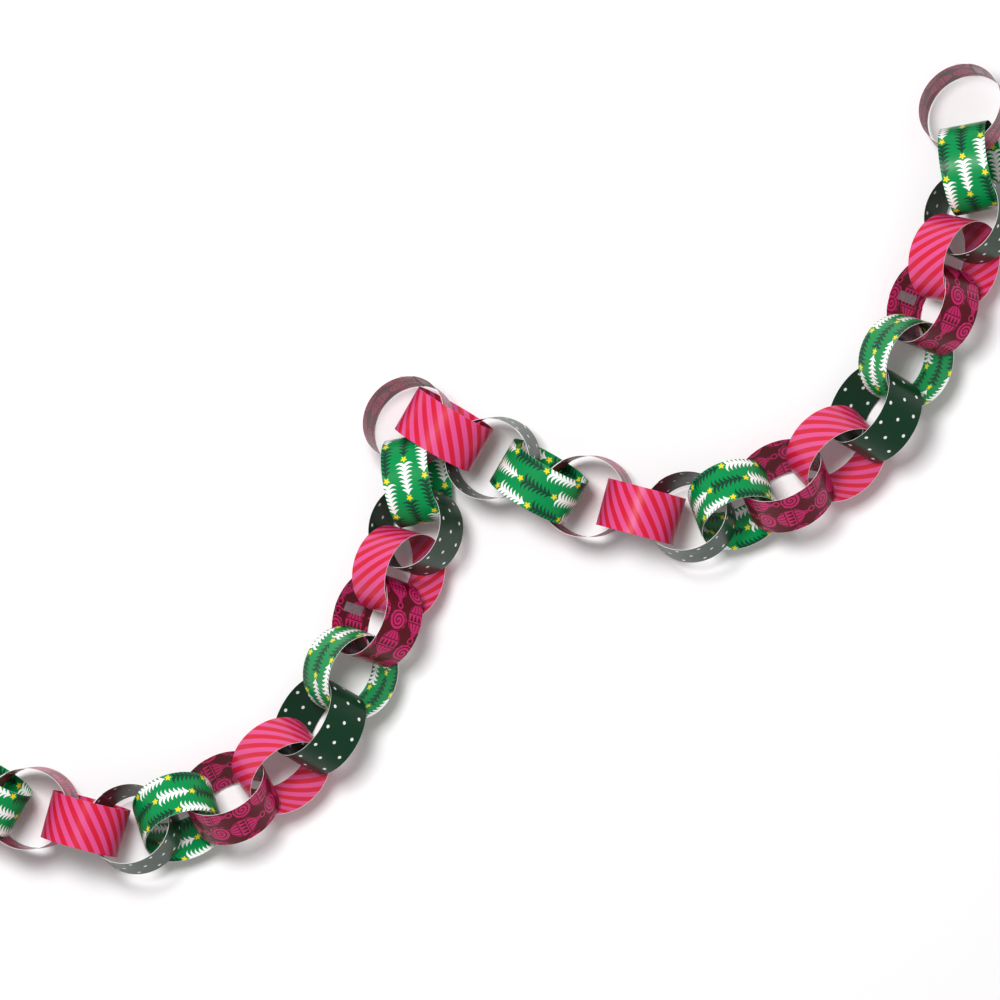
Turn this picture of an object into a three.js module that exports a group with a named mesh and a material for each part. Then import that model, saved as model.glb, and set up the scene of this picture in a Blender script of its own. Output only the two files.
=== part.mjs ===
// A slack paper chain garland lying on a table: thirty interlinked loops of printed paper.
// Millimetres. +Z is up, the table is z = 0, and the chain runs from the low left to the high right.
import * as THREE from "three";

// One strip of paper. It is bent round and its tail is glued over its own head.
const STRIP_LENGTH = 200;
const STRIP_WIDTH = 35;
const GLUED_LAP = 10;
const PAPER = 0.3;

// How finely a loop is folded from flat panels.
const PANELS = 36;

// The chain repeats after sixteen loops, each copy moved on by this much.
const REPEAT_X = 404;
const REPEAT_Y = 227;
const LOOPS = 30;

// The four prints follow one another along the chain.
const PRINTS = ["trees", "baubles", "stripes", "dots"];
const PAPER_COLOUR = { trees: 0x009b50, baubles: 0x621b28, stripes: 0xe84a78, dots: 0x1b412d };

const GIRTH = STRIP_LENGTH - GLUED_LAP;
const LAP_SHARE = GLUED_LAP / GIRTH;
const DEGREE = Math.PI / 180;

// How each of the sixteen loops lies.
//   at      where its middle is over the table
//   toward  the compass direction its upper rim leans to, from +X round to +Y
//   lean    how far it has toppled from standing on one rim (0) to lying on its side (90)
//   oval    how far it is squashed from round, and turn, which way round the long side is
//   lift    how far its neighbours hold its lowest point off the table
//   seam    where round the loop the glued lap starts
const LIE = [
  { at: [0, 0], toward: 60, lean: 80, oval: 0.03, turn: 90, lift: 0, seam: 200 },
  { at: [35, -11], toward: 180, lean: 12, oval: 0.03, turn: 0, lift: 7, seam: 300 },
  { at: [74, -22], toward: 75, lean: 90, oval: 0.04, turn: 0, lift: 0, seam: 20 },
  { at: [109, -26], toward: 130, lean: 20, oval: 0.03, turn: 60, lift: 7, seam: 300 },
  { at: [142, -17], toward: -70, lean: 55, oval: 0.02, turn: 0, lift: 0, seam: 250 },
  { at: [179, -3], toward: 115, lean: 45, oval: 0.05, turn: 90, lift: 3, seam: 200 },
  { at: [216, 20], toward: -50, lean: 40, oval: 0.05, turn: 90, lift: 0, seam: 160 },
  { at: [244, 50], toward: 150, lean: 55, oval: 0.05, turn: 90, lift: 1, seam: 200 },
  { at: [267, 88], toward: -20, lean: 35, oval: 0.03, turn: 90, lift: 1, seam: 160 },
  { at: [286, 127], toward: 160, lean: 50, oval: 0.05, turn: 90, lift: 0, seam: 275 },
  { at: [302, 161], toward: -15, lean: 45, oval: 0.03, turn: 90, lift: 0, seam: 160 },
  { at: [314, 192], toward: 160, lean: 30, oval: 0.03, turn: 90, lift: 4, seam: 200 },
  { at: [315, 228], toward: 10, lean: 75, oval: 0.05, turn: 90, lift: 0, seam: 160 },
  { at: [309, 270], toward: 140, lean: 18, oval: 0.05, turn: 90, lift: 2, seam: 210 },
  { at: [335, 265], toward: 60, lean: 85, oval: 0.03, turn: 90, lift: 1, seam: 160 },
  { at: [370, 244], toward: 190, lean: 14, oval: 0.03, turn: 0, lift: 9, seam: 200 },
];

// Half the long side and half the short side of an oval with the strip's girth.
function ovalAxes(oval) {
  const h = oval * oval;
  const mean = GIRTH / (2 * Math.PI * (1 + h / 4 + (h * h) / 64));
  return [mean * (1 + oval), mean * (1 - oval)];
}

// The point a part-turn round the loop, moved off the oval along its outward normal.
function onLoop(axes, seam, turn, offset) {
  const angle = seam + 2 * Math.PI * turn;
  const x = axes[0] * Math.cos(angle);
  const y = axes[1] * Math.sin(angle);
  const normalX = Math.cos(angle) * axes[1];
  const normalY = Math.sin(angle) * axes[0];
  const size = Math.hypot(normalX, normalY);
  return new THREE.Vector2(x + (offset * normalX) / size, y + (offset * normalY) / size);
}

// The strip seen edge-on. It winds out by one thickness in each turn, so the tail lands on the head.
function edgeOn(axes, seam) {
  const outside = [];
  const inside = [];
  for (let i = 0; i <= PANELS; i += 1) {
    const outer = LAP_SHARE + i / PANELS;
    const inner = i / PANELS;
    outside.push(onLoop(axes, seam, outer, PAPER * (outer + 0.5)));
    inside.push(onLoop(axes, seam, inner, PAPER * (inner - 0.5)));
  }
  const shape = new THREE.Shape(outside);
  shape.holes.push(new THREE.Path(inside));
  return shape;
}

// How high the loop's middle is when its lowest rim touches the table.
function restingHeight(axes, lean, turn) {
  const reach = Math.hypot(axes[0] * Math.cos(turn), axes[1] * Math.sin(turn));
  return (STRIP_WIDTH / 2) * Math.cos(lean) + (reach + 1.5 * PAPER) * Math.sin(lean);
}

function loop(lie, copy) {
  const axes = ovalAxes(lie.oval);
  const lean = lie.lean * DEGREE;
  const turn = lie.turn * DEGREE;
  const shape = edgeOn(axes, lie.seam * DEGREE);
  const strip = new THREE.ExtrudeGeometry(shape, { depth: STRIP_WIDTH, bevelEnabled: false });
  strip.translate(0, 0, -STRIP_WIDTH / 2);
  strip.rotateZ(turn);
  strip.rotateY(lean);
  strip.rotateZ(lie.toward * DEGREE);
  const x = lie.at[0] + copy * REPEAT_X;
  const y = lie.at[1] + copy * REPEAT_Y;
  strip.translate(x, y, restingHeight(axes, lean, turn) + lie.lift);
  return strip;
}

const garland = new THREE.Group();
garland.name = "paper_chain_garland";
for (let i = 0; i < LOOPS; i += 1) {
  const print = PRINTS[i % PRINTS.length];
  const geometry = loop(LIE[i % LIE.length], Math.floor(i / LIE.length));
  const paper = new THREE.MeshStandardMaterial({ color: PAPER_COLOUR[print], roughness: 0.45 });
  paper.name = `${print}_paper`;
  const link = new THREE.Mesh(geometry, paper);
  link.name = `link_${String(i + 1).padStart(2, "0")}_${print}`;
  garland.add(link);
}

// The origin is under the middle of the whole garland, on the table.
const box = new THREE.Box3().setFromObject(garland);
const middle = box.getCenter(new THREE.Vector3());
for (const link of garland.children) {
  link.geometry.translate(-middle.x, -middle.y, -box.min.z);
}

export default garland;
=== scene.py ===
# %% [markdown]
# # A slack paper chain garland
# A paper chain is made of flat strips of printed paper. Each strip is bent round, its tail is glued
# over its own head, and the next strip is passed through before it is closed in turn. The loops here
# lie slack on a table. The solid model already says where each loop is, so this lesson only has to
# bend fine strips in the same places, print them, and light them.

import bpy
import numpy as np
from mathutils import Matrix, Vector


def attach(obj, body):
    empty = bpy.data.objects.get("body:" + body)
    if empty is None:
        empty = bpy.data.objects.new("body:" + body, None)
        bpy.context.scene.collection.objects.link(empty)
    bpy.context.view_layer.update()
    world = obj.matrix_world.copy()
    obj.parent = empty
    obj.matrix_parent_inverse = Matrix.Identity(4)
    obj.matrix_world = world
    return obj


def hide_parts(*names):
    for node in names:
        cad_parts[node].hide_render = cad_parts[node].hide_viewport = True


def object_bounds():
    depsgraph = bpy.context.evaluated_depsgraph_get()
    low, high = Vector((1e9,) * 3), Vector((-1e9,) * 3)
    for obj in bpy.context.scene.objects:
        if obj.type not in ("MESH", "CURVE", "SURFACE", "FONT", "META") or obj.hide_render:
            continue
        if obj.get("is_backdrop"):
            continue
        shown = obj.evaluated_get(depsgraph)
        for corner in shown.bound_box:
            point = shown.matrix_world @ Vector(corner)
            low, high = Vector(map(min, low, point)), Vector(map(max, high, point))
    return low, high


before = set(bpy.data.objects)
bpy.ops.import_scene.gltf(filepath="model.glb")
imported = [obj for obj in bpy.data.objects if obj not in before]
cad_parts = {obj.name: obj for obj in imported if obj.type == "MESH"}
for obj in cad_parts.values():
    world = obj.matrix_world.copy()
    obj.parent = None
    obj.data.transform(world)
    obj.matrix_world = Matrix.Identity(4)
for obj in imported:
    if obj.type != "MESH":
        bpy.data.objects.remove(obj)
solid_low, solid_high = (list(corner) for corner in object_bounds())
scene = bpy.context.scene
print("solid model:", len(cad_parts), "loops, from", solid_low, "to", solid_high)

# %% [markdown]
# ## The camera
# The garland is laid out flat and looked at from straight above. A camera close to the table would
# show more of the walls of the outer loops than of the middle ones, so it stands far off with a long
# lens. The view is a little narrower than the garland, whose two end loops run out of it.

# %% Camera
MM = 0.001
VIEW_WIDTH = 727 * MM
VIEW_MIDDLE = (17.2 * MM, -22.4 * MM)
CAMERA_HEIGHT = 6.0
loop_middle_height = (solid_low[2] + solid_high[2]) / 2

camera = bpy.data.objects.new("camera", bpy.data.cameras.new("camera"))
scene.collection.objects.link(camera)
camera.location = (*VIEW_MIDDLE, loop_middle_height + CAMERA_HEIGHT)
camera.data.lens = camera.data.sensor_width * CAMERA_HEIGHT / VIEW_WIDTH
scene.camera = camera
print("lens", round(camera.data.lens), "mm at", CAMERA_HEIGHT, "m")

# %% [markdown]
# ## The table and the light
# The table is one large white sheet just under the lowest rim. One broad lamp at the upper left gives
# the satin paper its soft sheen and throws each loop's shadow down to the right, and an even sky
# fills the shadows in. A broad lamp is used and not a small one because the shadows fade out softly.

# %% Helper: a colour from its usual 0 to 255 values
def colour(red, green, blue):
    """Light values from screen values: each is raised along the standard screen curve."""
    screen = np.array([red, green, blue]) / 255
    light = np.where(screen <= 0.04045, screen / 12.92, ((screen + 0.055) / 1.055) ** 2.4)
    return (*light.tolist(), 1.0)


# %% Table
TABLE_SIZE = 6.0
TABLE_GAP = 0.2 * MM
TABLE_ROUGHNESS = 0.9
TABLE_WHITE = colour(253, 252, 253)


def table_sheet():
    """One square in the table's plane, centred under the garland."""
    half = TABLE_SIZE / 2
    height = solid_low[2] - TABLE_GAP
    outline = [(-half, -half), (half, -half), (half, half), (-half, half)]
    corners = [(x, y, height) for x, y in outline]
    mesh = bpy.data.meshes.new("table")
    mesh.from_pydata(corners, [], [(0, 1, 2, 3)])
    sheet = bpy.data.objects.new("table", mesh)
    scene.collection.objects.link(sheet)
    finish = bpy.data.materials.new("table_white")
    finish.use_nodes = True
    shader = finish.node_tree.nodes["Principled BSDF"]
    shader.inputs["Base Color"].default_value = TABLE_WHITE
    shader.inputs["Roughness"].default_value = TABLE_ROUGHNESS
    mesh.materials.append(finish)
    return sheet


table_sheet()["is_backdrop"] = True
print("table", TABLE_SIZE, "m square")

# %% Lamp and sky
LAMP_SIZE = 0.9
LAMP_PLACE = (-0.6, 0.75, 2.8)
LAMP_POWER = 71
SKY_STRENGTH = 0.40

lamp = bpy.data.objects.new("lamp", bpy.data.lights.new("lamp", "AREA"))
lamp.data.size = LAMP_SIZE
lamp.data.energy = LAMP_POWER
lamp.location = LAMP_PLACE
lamp.rotation_mode = "QUATERNION"
lamp.rotation_quaternion = lamp.location.to_track_quat("Z", "Y")
scene.collection.objects.link(lamp)

sky = bpy.data.worlds.new("sky")
sky.use_nodes = True
sky.node_tree.nodes["Background"].inputs["Color"].default_value = (1.0, 1.0, 1.0, 1.0)
sky.node_tree.nodes["Background"].inputs["Strength"].default_value = SKY_STRENGTH
scene.world = sky
scene.view_settings.view_transform = "Standard"
print("lamp", LAMP_POWER, "W, sky", SKY_STRENGTH)

# %% [markdown]
# ## Reading a loop from the solid model
# Each solid loop is a ring of flat panels. To bend a smooth strip in its place we need its middle, its
# axis, its oval and the place where the strip starts. The axis is the direction in which the ring's
# corners spread least, because a loop is wider than its strip. The oval is fitted to the corners by
# least squares. The strip winds outwards by one thickness a turn, so the corner that lies deepest
# inside the oval is the strip's head, and the one that stands furthest out is its tail.

# %% Corners of a solid loop and its three directions
PAPER = 0.3 * MM


def corners_of(node):
    """The node's corners, each one once, as rows of x, y, z."""
    mesh = node.data
    flat = np.empty(3 * len(mesh.vertices))
    mesh.vertices.foreach_get("co", flat)
    return np.unique(flat.reshape(-1, 3).round(7), axis=0)


def spread_directions(corners):
    """The corners' mean, and the eigenvectors of their covariance: two across the ring, then its axis."""
    middle = corners.mean(0)
    directions = np.linalg.eigh(np.cov((corners - middle).T))[1]
    axis = directions[:, 0]
    across = directions[:, 1]
    return middle, across, np.cross(axis, across), axis


# %% The oval through the corners
def fitted_oval(x, y):
    """Least squares for A xx + B xy + C yy + D x + E y = 1: centre, half axes and the long side's angle."""
    terms = np.stack([x * x, x * y, y * y, x, y], 1)
    a, b, c, d, e = np.linalg.lstsq(terms, np.ones(len(x)), rcond=None)[0]
    square = np.array([[a, b / 2], [b / 2, c]])
    centre = -0.5 * np.linalg.solve(square, [d, e])
    sizes, sides = np.linalg.eigh(square / (1 + centre @ square @ centre))
    return centre, 1 / np.sqrt(sizes), sides


# %% One loop's measures
def read_loop(node):
    """Middle, long side, short side, axis, half axes, head's angle, lap in turns, and strip width."""
    corners = corners_of(node)
    middle, first, second, axis = spread_directions(corners)
    x, y = (corners - middle) @ first, (corners - middle) @ second
    centre, halves, sides = fitted_oval(x, y)
    long_side = first * sides[0, 0] + second * sides[1, 0]
    short_side = np.cross(axis, long_side)
    middle = middle + first * centre[0] + second * centre[1]
    x, y = (corners - middle) @ long_side / halves[0], (corners - middle) @ short_side / halves[1]
    angle, depth = np.arctan2(y, x), np.hypot(x, y)
    head, tail = angle[depth.argmin()], angle[depth.argmax()]
    lap = (tail - head + np.pi) % (2 * np.pi) - np.pi
    if lap < 0:
        short_side, axis, head, lap = -short_side, -axis, -head, -lap
    lap_turns = lap / (2 * np.pi)
    # The corners wind outwards from the oval the strip starts on, by this much on average.
    winding_out = PAPER * (1 + lap_turns) / 2
    return {
        "middle": middle,
        "sides": (long_side, short_side, axis),
        "halves": halves - winding_out,
        "head": head,
        "lap": lap_turns,
        "width": np.ptp(corners @ axis),
    }


loops = {name: read_loop(node) for name, node in sorted(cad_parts.items())}
sample = loops["link_01_trees"]
print("first loop: half axes", (sample["halves"] / MM).round(2), "mm, lap", round(sample["lap"], 4), "turns")
print("strip width", round(sample["width"] / MM, 2), "mm, middle", (sample["middle"] / MM).round(1))

# %% [markdown]
# ## Bending the strip
# A strip is a sheet with two printed faces and a thin white cut edge all round. It could be a plane
# with a Solidify modifier, but then the lap would cut through itself. Here both faces are worked out
# directly: the middle of the sheet winds outwards a little more than its own thickness in each turn,
# so the tail lies on the head, and the tail's last few millimetres spring up a little, as glued paper
# does.

# %% Points of a bent strip
STEPS_ALONG = 180
STEPS_ACROSS = 8
LAYER_STEP = 1.12 * PAPER
TAIL_SPRING = 0.2 * MM
SPRING_TURNS = 0.03


def winding(loop):
    """The sheet's middle line seen along the axis: oval plus offset along its normal, and the normals."""
    turns = np.linspace(0, 1 + loop["lap"], STEPS_ALONG + 1)
    angle = loop["head"] + 2 * np.pi * turns
    long_half, short_half = loop["halves"]
    normal = np.stack([short_half * np.cos(angle), long_half * np.sin(angle)], 1)
    normal /= np.linalg.norm(normal, axis=1, keepdims=True)
    spring = np.clip((turns - turns[-1] + SPRING_TURNS) / SPRING_TURNS, 0, 1) ** 2
    offset = LAYER_STEP * turns + TAIL_SPRING * spring
    line = np.stack([long_half * np.cos(angle), short_half * np.sin(angle)], 1) + offset[:, None] * normal
    return line, normal


def strip_points(loop):
    """Both faces: the line moved half a thickness along its normal and swept along the axis."""
    line, normal = winding(loop)
    long_side, short_side, axis = loop["sides"]
    across = np.linspace(-0.5, 0.5, STEPS_ACROSS + 1) * loop["width"]
    faces = []
    for half in (PAPER / 2, -PAPER / 2):
        flat = line + half * normal
        ring = loop["middle"] + flat[:, :1] * long_side + flat[:, 1:] * short_side
        faces.append(ring[:, None, :] + across[None, :, None] * axis)
    along = np.concatenate([[0], np.cumsum(np.linalg.norm(np.diff(line, axis=0), axis=1))])
    return faces, along, across + loop["width"] / 2


along_sample = strip_points(sample)[1]
print("strip length", round(along_sample[-1] / MM, 1), "mm")

# %% Faces of a bent strip
def grid_quads(grid):
    """Each cell of a grid of point numbers as a quad, first along the strip and then across it."""
    return np.stack([grid[:-1, :-1], grid[1:, :-1], grid[1:, 1:], grid[:-1, 1:]], -1).reshape(-1, 4)


def strip_quads(rows, columns):
    """Outer face, inner face turned inwards, two long cut edges and two short ones, all facing out."""
    outer = np.arange(rows * columns).reshape(rows, columns)
    inner = outer + rows * columns
    top = np.stack([outer[:, -1], inner[:, -1]], 1)
    bottom = np.stack([inner[:, 0], outer[:, 0]], 1)
    head = np.stack([outer[0], inner[0]], 1)
    tail = np.stack([inner[-1], outer[-1]], 1)
    printed = [grid_quads(outer), grid_quads(inner)[:, ::-1]]
    cut = [grid_quads(side) for side in (top, bottom, head, tail)]
    return printed, np.concatenate(cut)


print("quads in a strip", sum(len(part) for part in strip_quads(STEPS_ALONG + 1, STEPS_ACROSS + 1)[0]))

# %% [markdown]
# ## Drawing on paper with sums
# A printed pattern is a rule that says, for each point of the strip, which ink is there. The two
# numbers it starts from are the distance along the strip and the distance across it, in millimetres,
# which the strip's own UV map carries. Images could be painted instead, but a rule stays sharp at any
# distance. The helper below lets ordinary sums on those numbers add Math nodes to a material.

# %% Helper: numbers that live in a material
SHEET = 250.0
INK_SOFTNESS = 0.22


class Measure:
    """A number at every point of the paper. Sums on it add Math nodes to its material."""

    def __init__(self, tree, socket):
        self.tree = tree
        self.socket = socket

    def math(self, operation, *others):
        """One Math node with this number first and the others, numbers or measures, after it."""
        node = self.tree.nodes.new("ShaderNodeMath")
        node.operation = operation
        for place, value in enumerate((self, *others)):
            if isinstance(value, Measure):
                self.tree.links.new(value.socket, node.inputs[place])
            else:
                node.inputs[place].default_value = value
        return Measure(self.tree, node.outputs[0])

    def __add__(self, other):
        return self.math("ADD", other)

    def __sub__(self, other):
        return self.math("SUBTRACT", other)

    def __mul__(self, other):
        return self.math("MULTIPLY", other)

    def __truediv__(self, other):
        return self.math("DIVIDE", other)

    def __abs__(self):
        return self.math("ABSOLUTE")

    def size_with(self, other):
        """The square root of the two squares' sum."""
        return (self * self + other * other).math("SQRT")

    def angle_with(self, across):
        """The angle of the point (self, across), in radians."""
        return across.math("ARCTAN2", self)

    def cell(self, size):
        """Which cell of that size the point is in."""
        return (self / size).math("FLOOR")

    def within_cell(self, size):
        """How far past its cell's middle the point is."""
        return self.math("WRAP", size, 0.0) - size / 2

    def below(self, limit):
        """Ink: 1 where this is below the limit and 0 above it, with a slightly soft border."""
        depth = self * -1.0 + limit
        return (depth / INK_SOFTNESS + 0.5).math("MINIMUM", 1.0).math("MAXIMUM", 0.0)

    def with_ink(self, other):
        """Ink of both."""
        return self.math("MAXIMUM", other)

    def without(self, other):
        """Ink of this one where the other leaves the paper free."""
        return self * (other * -1.0 + 1.0)


# %% Helper: paper to print on
class Paper:
    """A new satin paper material with its two distances, its ground colour and a place to add inks."""

    def __init__(self, name, ground):
        self.material = bpy.data.materials.new(name)
        self.material.use_nodes = True
        self.tree = self.material.node_tree
        self.shader = self.tree.nodes["Principled BSDF"]
        chart = self.tree.nodes.new("ShaderNodeUVMap")
        chart.uv_map = "strip"
        split = self.tree.nodes.new("ShaderNodeSeparateXYZ")
        self.tree.links.new(chart.outputs["UV"], split.inputs[0])
        self.along = Measure(self.tree, split.outputs["X"]) * SHEET
        self.across = Measure(self.tree, split.outputs["Y"]) * SHEET
        first = self.tree.nodes.new("ShaderNodeRGB")
        first.outputs[0].default_value = ground
        self.top = first.outputs[0]

    def print_ink(self, ink, ink_colour):
        """Lays one colour over what is there, as much as the ink measure says."""
        mix = self.tree.nodes.new("ShaderNodeMix")
        mix.data_type = "RGBA"
        self.tree.links.new(ink.socket, mix.inputs["Factor"])
        self.tree.links.new(self.top, mix.inputs["A"])
        mix.inputs["B"].default_value = ink_colour
        self.top = mix.outputs["Result"]

    def noise(self, size, detail):
        """Smooth cloudy noise in object space whose patches are about that many metres wide."""
        place = self.tree.nodes.new("ShaderNodeTexCoord")
        cloud = self.tree.nodes.new("ShaderNodeTexNoise")
        cloud.inputs["Scale"].default_value = 1 / size
        cloud.inputs["Detail"].default_value = detail
        self.tree.links.new(place.outputs["Object"], cloud.inputs["Vector"])
        return Measure(self.tree, cloud.outputs["Fac"])


# %% [markdown]
# ## The satin finish
# The paper is coated: its ink has a soft sheen that breaks up where the sheet isn't quite flat. So all
# four prints share one finish. The roughness wanders a little, a faint broad bump stands for the waves
# in the sheet, and a much finer one for its grain. Ink density varies slightly over the same patches.

# %% Finish
SHEET_WAVE = 22 * MM
GRAIN = 0.5 * MM
SHEEN_FROM = 0.24
SHEEN_SPREAD = 0.16
GLOSS = 0.22
WAVE_DETAIL, GRAIN_DETAIL = 2.0, 4.0
INK_THINNEST, INK_SPREAD = 0.95, 0.10
GRAIN_HEIGHT = 0.04
BUMP_STRENGTH = 0.35


def add_finish(paper):
    """Links colour, roughness and bump into the paper's shader."""
    wave = paper.noise(SHEET_WAVE, WAVE_DETAIL)
    grain = paper.noise(GRAIN, GRAIN_DETAIL)
    tree = paper.tree
    density = tree.nodes.new("ShaderNodeHueSaturation")
    tree.links.new(paper.top, density.inputs["Color"])
    tree.links.new((grain * INK_SPREAD + INK_THINNEST).socket, density.inputs["Value"])
    tree.links.new(density.outputs["Color"], paper.shader.inputs["Base Color"])
    tree.links.new((wave * SHEEN_SPREAD + SHEEN_FROM).socket, paper.shader.inputs["Roughness"])
    bump = tree.nodes.new("ShaderNodeBump")
    bump.inputs["Strength"].default_value = BUMP_STRENGTH
    bump.inputs["Distance"].default_value = MM
    tree.links.new((wave + grain * GRAIN_HEIGHT).socket, bump.inputs["Height"])
    tree.links.new(bump.outputs["Normal"], paper.shader.inputs["Normal"])
    paper.shader.inputs["Specular IOR Level"].default_value = GLOSS
    return paper.material


# %% [markdown]
# ## Fir trees
# The tree print is a bright green ground with trees lying along the strip in rows, white and dark
# green by turns, each with a yellow star at its tip. A tree is a stem with pairs of fronds. A frond
# leaves the stem, sweeps back from the star and curls up again, so its rule is a repeat along the
# stem, bent by how far out the point is. Neighbouring rows are shifted by half a tree.

# %% Fir tree print
TREE_PITCH = 29.0
TREE_ROW = 14.5
TREE_ROW_EDGE = 4.25
TREE_TIP = 9.6
TREE_LENGTH = 22.5
FROND_PITCH = 3.2
FROND_SWEEP, FROND_CURL = 1.15, 0.14
FROND_THICKNESS = 1.65
REACH_AT_TIP, REACH_GAIN = 3.9, 3.2
STEM_HALF = 0.55
STAR_RADIUS = 2.5
STAR_POINTS = 5
STAR_CORE, STAR_SPIKE = 0.42, 0.62
STAR_PAST_TIP = 2.6
BRIGHT_GREEN, TREE_GREEN = colour(0, 142, 74), colour(18, 66, 46)
TREE_WHITE, STAR_YELLOW = colour(252, 252, 250), colour(248, 222, 40)


def tree_ink(x, y):
    """The stem, and fronds: a repeat along x plus sweep less curl, narrowing to nothing at their reach."""
    out = abs(y)
    root = x + out * FROND_SWEEP - out * out * FROND_CURL
    from_tip = (root * -1.0 + TREE_TIP) / TREE_LENGTH
    reach = from_tip * REACH_GAIN + REACH_AT_TIP
    thickness = (out / reach * -1.0 + 1.0) * FROND_THICKNESS
    frond = (abs(root.within_cell(FROND_PITCH)) - thickness).below(0.0)
    on_tree = (abs(from_tip - 0.5) * TREE_LENGTH).below(TREE_LENGTH / 2)
    stem = out.below(STEM_HALF) * abs(x - TREE_TIP + TREE_LENGTH / 2).below(TREE_LENGTH / 2)
    return (frond * on_tree * (out - reach).below(0.0)).with_ink(stem)


def star_ink(x, y):
    """A star: its radius falls and rises once for each of its points."""
    angle = x.angle_with(y)
    wave = abs((angle * (STAR_POINTS / (2 * np.pi))).within_cell(1.0)) * 2.0
    radius = wave * (STAR_SPIKE * STAR_RADIUS) + STAR_CORE * STAR_RADIUS
    return (x.size_with(y) - radius).below(0.0)


def trees_paper():
    """Bright green with rows of white and dark green trees, and a yellow star on each."""
    paper = Paper("trees_paper_printed", BRIGHT_GREEN)
    across = paper.across + TREE_ROW_EDGE
    row = across.cell(TREE_ROW)
    along = paper.along + row * (TREE_PITCH / 2)
    y = across.within_cell(TREE_ROW)
    x = along.within_cell(TREE_PITCH)
    odd = along.cell(TREE_PITCH).math("FLOORED_MODULO", 2.0)
    tree = tree_ink(x, y)
    paper.print_ink(tree.without(odd), TREE_WHITE)
    paper.print_ink(tree * odd, TREE_GREEN)
    paper.print_ink(star_ink(x - (TREE_TIP + STAR_PAST_TIP), y), STAR_YELLOW)
    return add_finish(paper)


# %% [markdown]
# ## Baubles
# The bauble print is magenta line work on maroon. A bauble hangs from a ring by a striped neck. Its
# body is an oval with curved slits, a band of teeth between two lines, and slits again at the far end.
# Round scrolls fill the space before the next bauble, and each row is shifted by half a repeat.

# %% Bauble print
BAUBLE_PITCH = 46.0
BAUBLE_ROW = 17.5
BAUBLE_ROW_EDGE = 4.5
BODY_AT, BODY_LONG, BODY_WIDE = -3.0, 10.4, 8.4
SLITS_IN_HALF, SLIT_PITCH, SLIT_HALF, SLIT_BOW = 2.5, 3.4, 0.42, 1.12
SLITS_FROM, LINE_AT, LINE_HALF = 0.38, 0.34, 0.42
TOOTH_SLANT, TOOTH_HALF, TOOTH_HEIGHT = 2.4, 0.9, 2.3
NECK_AT, NECK_HALF = -14.5, 2.6
COLLAR_FLARE, COLLAR_HALF, COLLAR_PITCH, COLLAR_GAP = 0.28, 1.9, 1.5, 0.22
RING_AT, RING_RADIUS, RING_LINE = -19.6, 2.2, 1.0
SCROLL_AT, SCROLL_RADIUS, SCROLL_STEP, SCROLL_LINE = 15.4, 7.6, 2.9, 0.95
SCROLL_WAVES, SCROLL_RIPPLE = 9.0, 0.35
MAROON, MAGENTA = colour(92, 8, 26), colour(204, 36, 106)


def body_ink(x, y):
    """An oval less its slits, its two cross lines and its teeth."""
    a, b = (x - BODY_AT) / BODY_LONG, y / BODY_WIDE
    oval = ((a.size_with(b) - 1.0) * BODY_WIDE).below(0.0)
    meridian = b / ((a * a * -1.0 + SLIT_BOW).math("SQRT"))
    slit = (abs((meridian * SLITS_IN_HALF + 0.5).within_cell(1.0)) * SLIT_PITCH).below(SLIT_HALF)
    ends = ((abs(a) - SLITS_FROM) * -BODY_LONG).below(0.0)
    lines = (abs(abs(a) - LINE_AT) * BODY_LONG).below(LINE_HALF)
    tooth_middle = abs((meridian * SLITS_IN_HALF).within_cell(1.0)) * SLIT_PITCH
    tooth = (tooth_middle + a * TOOTH_SLANT).below(TOOTH_HALF)
    band = (abs(a) * BODY_LONG).below(TOOTH_HEIGHT)
    return oval.without((slit * ends).with_ink(lines).with_ink(tooth * band))


def neck_and_ring_ink(x, y):
    """A striped collar that widens towards the body, and a round ring beyond it."""
    sides = (abs(y) - (x - NECK_AT) * COLLAR_FLARE - COLLAR_HALF).below(0.0)
    collar = sides * abs(x - NECK_AT).below(NECK_HALF)
    stripe = abs(y.within_cell(COLLAR_PITCH)).below(COLLAR_GAP)
    ring = abs((x - RING_AT).size_with(y) - RING_RADIUS).below(RING_LINE / 2)
    return collar.without(stripe).with_ink(ring)


def scroll_ink(x, y):
    """A spiral line: the radius, plus one step for each turn of the angle, repeats every step."""
    x = x - SCROLL_AT
    radius, angle = x.size_with(y), x.angle_with(y)
    edge = (angle * SCROLL_WAVES).math("COSINE") * SCROLL_RIPPLE + SCROLL_RADIUS
    unwound = radius + angle * (SCROLL_STEP / (2 * np.pi))
    line = abs(unwound.within_cell(SCROLL_STEP)).below(SCROLL_LINE)
    return line * (radius - edge).below(0.0)


def baubles_paper():
    """Maroon with magenta baubles and scrolls."""
    paper = Paper("baubles_paper_printed", MAROON)
    across = paper.across + BAUBLE_ROW_EDGE
    row = across.cell(BAUBLE_ROW)
    x = (paper.along + row * (BAUBLE_PITCH / 2)).within_cell(BAUBLE_PITCH)
    y = across.within_cell(BAUBLE_ROW)
    ink = body_ink(x, y).with_ink(neck_and_ring_ink(x, y)).with_ink(scroll_ink(x, y))
    paper.print_ink(ink, MAGENTA)
    return add_finish(paper)


# %% [markdown]
# ## Stripes and dots
# Two of the prints are plain. Equal pink and red stripes slant across the strip, which is a repeat
# along the strip that slides with the distance across it. Small white dots stand in staggered rows on
# dark green, which is a distance to the middle of each cell.

# %% Stripe print
STRIPE_REPEAT = 10.2
STRIPE_SLANT = 0.84
PINK, RED = colour(222, 80, 140), colour(208, 28, 56)


def stripes_paper():
    """Pink with red stripes as wide as the pink between them."""
    paper = Paper("stripes_paper_printed", PINK)
    slid = paper.along + paper.across * STRIPE_SLANT
    red = abs(slid.within_cell(STRIPE_REPEAT)).below(STRIPE_REPEAT / 4)
    paper.print_ink(red, RED)
    return add_finish(paper)


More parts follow.
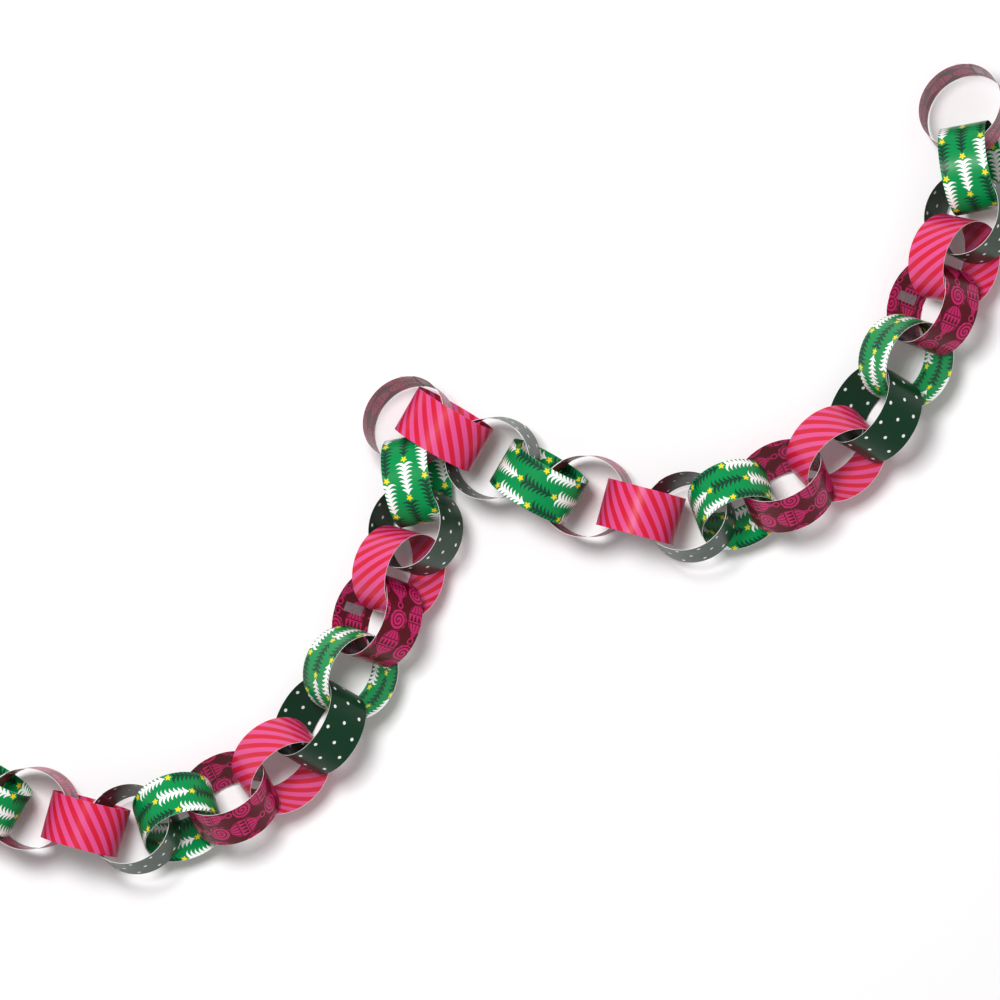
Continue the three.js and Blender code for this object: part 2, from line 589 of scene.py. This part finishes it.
# %% Dot print
DOT_SPACING = 16.0
DOT_ROW = 12.0
DOT_RADIUS = 1.3
DARK_GREEN, DOT_WHITE = colour(14, 56, 34), colour(250, 250, 248)


def dots_paper():
    """Dark green with white dots in staggered rows."""
    paper = Paper("dots_paper_printed", DARK_GREEN)
    row = paper.across.cell(DOT_ROW)
    x = (paper.along + row * (DOT_SPACING / 2)).within_cell(DOT_SPACING)
    y = paper.across.within_cell(DOT_ROW)
    paper.print_ink(x.size_with(y).below(DOT_RADIUS), DOT_WHITE)
    return add_finish(paper)


# %% [markdown]
# ## Bare paper
# Two places show no print. The cut edge is the white core of the paper, and a strip sold for paper
# chains has a patch of gum on the back of its tail. Its mottled greyish mauve, paler than the ink
# under it, is a painted sheen: the glossy gum's reflection of the light put into its colour. Both are
# plain, so one function makes either, with noise between two shades.

# %% Bare paper
MOTTLE = 2.5 * MM
MOTTLE_DETAIL = 3.0
EDGE_ROUGHNESS = 0.8
GUM_SHEEN_ROUGHNESS = 0.3
EDGE_WHITE, EDGE_GREY = colour(250, 249, 247), colour(232, 229, 226)
# The gum's two shades are a painted sheen: maroon ink lightened to greyish mauve as reflected light would
# make it.
GUM_SHEEN_PALE, GUM_SHEEN_MAUVE = colour(158, 136, 142), colour(104, 78, 86)


def bare_paper(name, light, dark, roughness):
    """Two shades of the same paper in cloudy patches."""
    paper = Paper(name, light)
    paper.print_ink(paper.noise(MOTTLE, MOTTLE_DETAIL), dark)
    paper.tree.links.new(paper.top, paper.shader.inputs["Base Color"])
    paper.shader.inputs["Roughness"].default_value = roughness
    return paper.material


cut_edge = bare_paper("paper_cut_edge", EDGE_WHITE, EDGE_GREY, EDGE_ROUGHNESS)
# The gum material's pale mottled colour is painted sheen on the glossy gum.
gum_sheen = bare_paper("paper_gum_sheen", GUM_SHEEN_PALE, GUM_SHEEN_MAUVE, GUM_SHEEN_ROUGHNESS)
prints = {
    "trees": trees_paper(),
    "baubles": baubles_paper(),
    "stripes": stripes_paper(),
    "dots": dots_paper(),
}
print("papers:", {name: len(made.node_tree.nodes) for name, made in prints.items()}, "nodes")

# %% [markdown]
# ## Closing the loops
# Now each solid loop is replaced by a fine strip in the same place. A strip can be closed with its
# print running either way, and can start anywhere in the printed repeat, so both are given per loop.
# The back is printed like the front and reads the right way round from its own side. On the bauble
# strips the gum patch, with its painted sheen, is longer than the lap, so some of it stays in sight inside
# the loop.

# %% Build the strips
# The gum patches carry a painted sheen; the longer bauble patch leaves some of that painted sheen in sight.
GUM_SHEEN_LENGTH = {"trees": 9 * MM, "baubles": 17 * MM, "stripes": 9 * MM, "dots": 9 * MM}
GUM_SHEEN_WIDTH = 18 * MM
SWAG = 16
RUNS_BACK = {5, 6, 9}
BACK_FROM = 60.0
START_STEP, START_RANGE = 17.0, 40.0
SHARP_FROM = 40
CUT_EDGE, GUM_SHEEN = 1, 2


def strip_chart(along, across, number):
    """UV of both faces: distances over the sheet's size, the back mirrored and moved to rows of its own."""
    start = (number * START_STEP) % START_RANGE
    length, width = along[-1], across[-1]
    if number % SWAG in RUNS_BACK:
        along, across = length - along, width - across
    front_u, front_v = np.meshgrid(along / MM + start, across / MM, indexing="ij")
    back_u, back_v = np.meshgrid((length - along) / MM + start, across / MM + BACK_FROM, indexing="ij")
    front, back = np.stack([front_u, front_v], -1), np.stack([back_u, back_v], -1)
    return np.concatenate([front.reshape(-1, 2), back.reshape(-1, 2)]) / SHEET


def strip_mesh(name, loop, number, gum_sheen_length):
    """Both faces and the cut edges as one closed mesh with its chart and its three papers."""
    (outer, inner), along, across = strip_points(loop)
    points = np.concatenate([outer.reshape(-1, 3), inner.reshape(-1, 3)])
    (front, back), cut = strip_quads(*outer.shape[:2])
    quads = np.concatenate([front, back, cut])
    mesh = bpy.data.meshes.new(name)
    mesh.from_pydata(points, [], quads)
    chart = mesh.uv_layers.new(name="strip")
    chart.uv.foreach_set("vector", strip_chart(along, across, number)[quads].ravel())
    past, beside = np.meshgrid(along[1:], across[1:] + across[:-1] - across[-1], indexing="ij")
    gum_sheen_mask = ((past > along[-1] - gum_sheen_length) & (abs(beside) < GUM_SHEEN_WIDTH)).ravel()
    papers = np.concatenate([np.zeros(len(front)), gum_sheen_mask * GUM_SHEEN, np.full(len(cut), CUT_EDGE)])
    mesh.polygons.foreach_set("material_index", papers.astype(np.int32))
    mesh.polygons.foreach_set("use_smooth", np.ones(len(quads), bool))
    mesh.set_sharp_from_angle(angle=np.radians(SHARP_FROM))
    mesh.validate()
    return mesh


for name, loop in loops.items():
    number, print_name = int(name.split("_")[1]), name.split("_")[2]
    mesh = strip_mesh(f"strip_{number:02d}_{print_name}", loop, number, GUM_SHEEN_LENGTH[print_name])
    for paper in (prints[print_name], cut_edge, gum_sheen):
        mesh.materials.append(paper)
    strip = bpy.data.objects.new(mesh.name, mesh)
    scene.collection.objects.link(strip)
    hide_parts(name)
    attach(strip, "root")
print("strips", len(loops), "with", len(mesh.polygons), "quads each")
